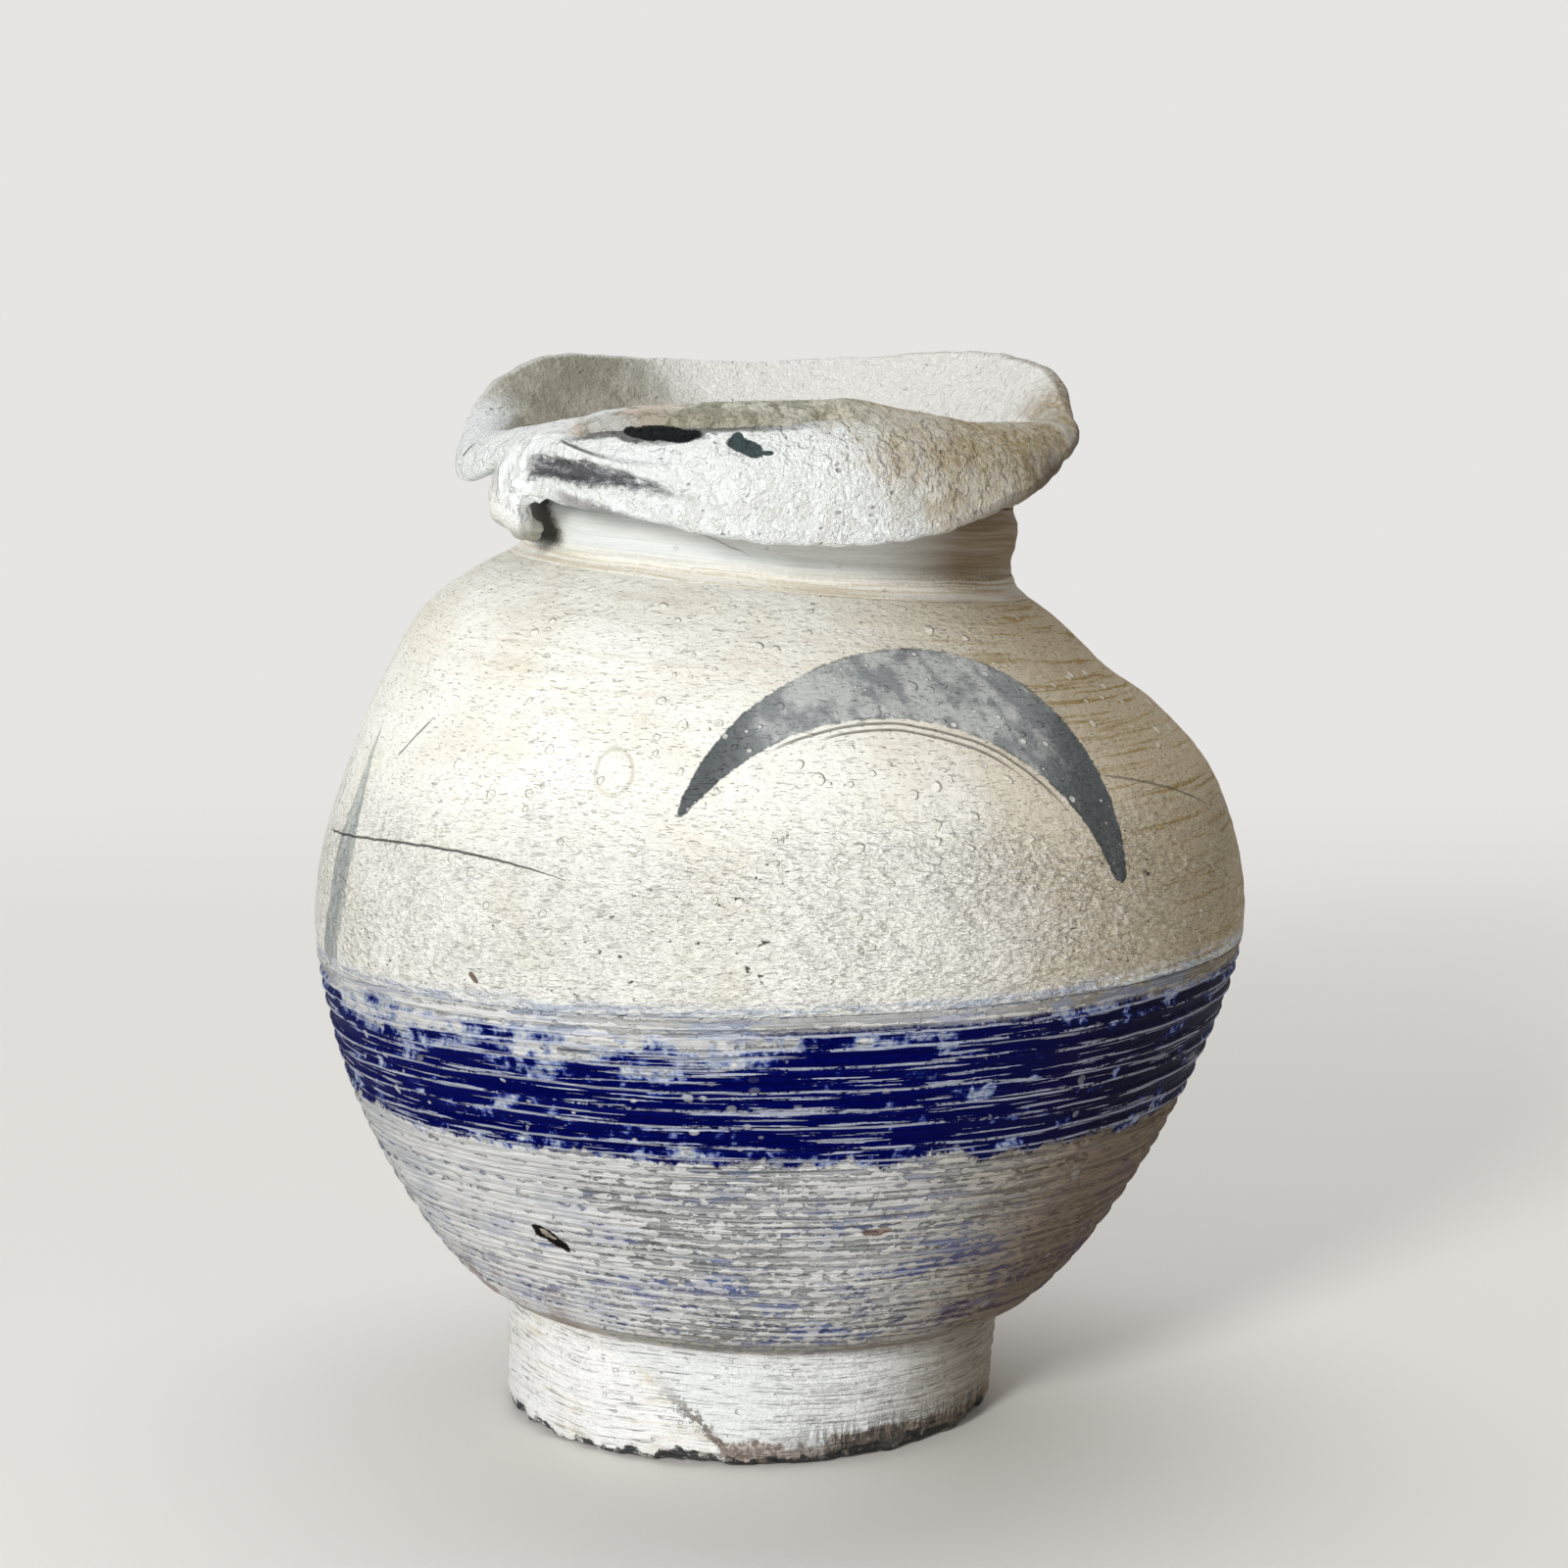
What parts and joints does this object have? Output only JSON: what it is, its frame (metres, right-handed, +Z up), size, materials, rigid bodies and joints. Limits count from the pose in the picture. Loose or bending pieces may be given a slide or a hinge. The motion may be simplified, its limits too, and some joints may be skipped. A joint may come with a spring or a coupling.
{
  "type": "pottery vase",
  "caption": "Round handmade stoneware vase on a foot ring, with a short slanting neck and a flared rim folded down over the front.",
  "frame": {"origin": "on the ground, under the middle of the whole vase; the foot ring stands 8.9 mm to the left of it, because the pot leans", "axes": "+Z up, -Y to the front, where the rim is folded down, +X to the right as seen from the front"},
  "size_m": [0.2544, 0.2544, 0.2895],
  "materials": {
    "foot_ring": "white slip, worn and chipped at the ground",
    "lower_bowl": "ridged, cobalt band above, white with blue wash below",
    "shoulder_dome": "cream slip, pitted, with grey brushed crescents",
    "neck_collar": "cool white slip, matt",
    "rim_flange": "beige, grainy, darker along the edge",
    "front_apron": "chalky white with grey glaze in the crease",
    "pleat_curl": "off-white, wrinkled"
  },
  "bodies": {
    "root": {"foot_ring": "foot_ring", "lower_bowl": "lower_bowl", "shoulder_dome": "shoulder_dome", "neck_collar": "neck_collar", "rim_flange": "rim_flange", "front_apron": "front_apron", "pleat_curl": "pleat_curl"}
  },
  "joints": []
}
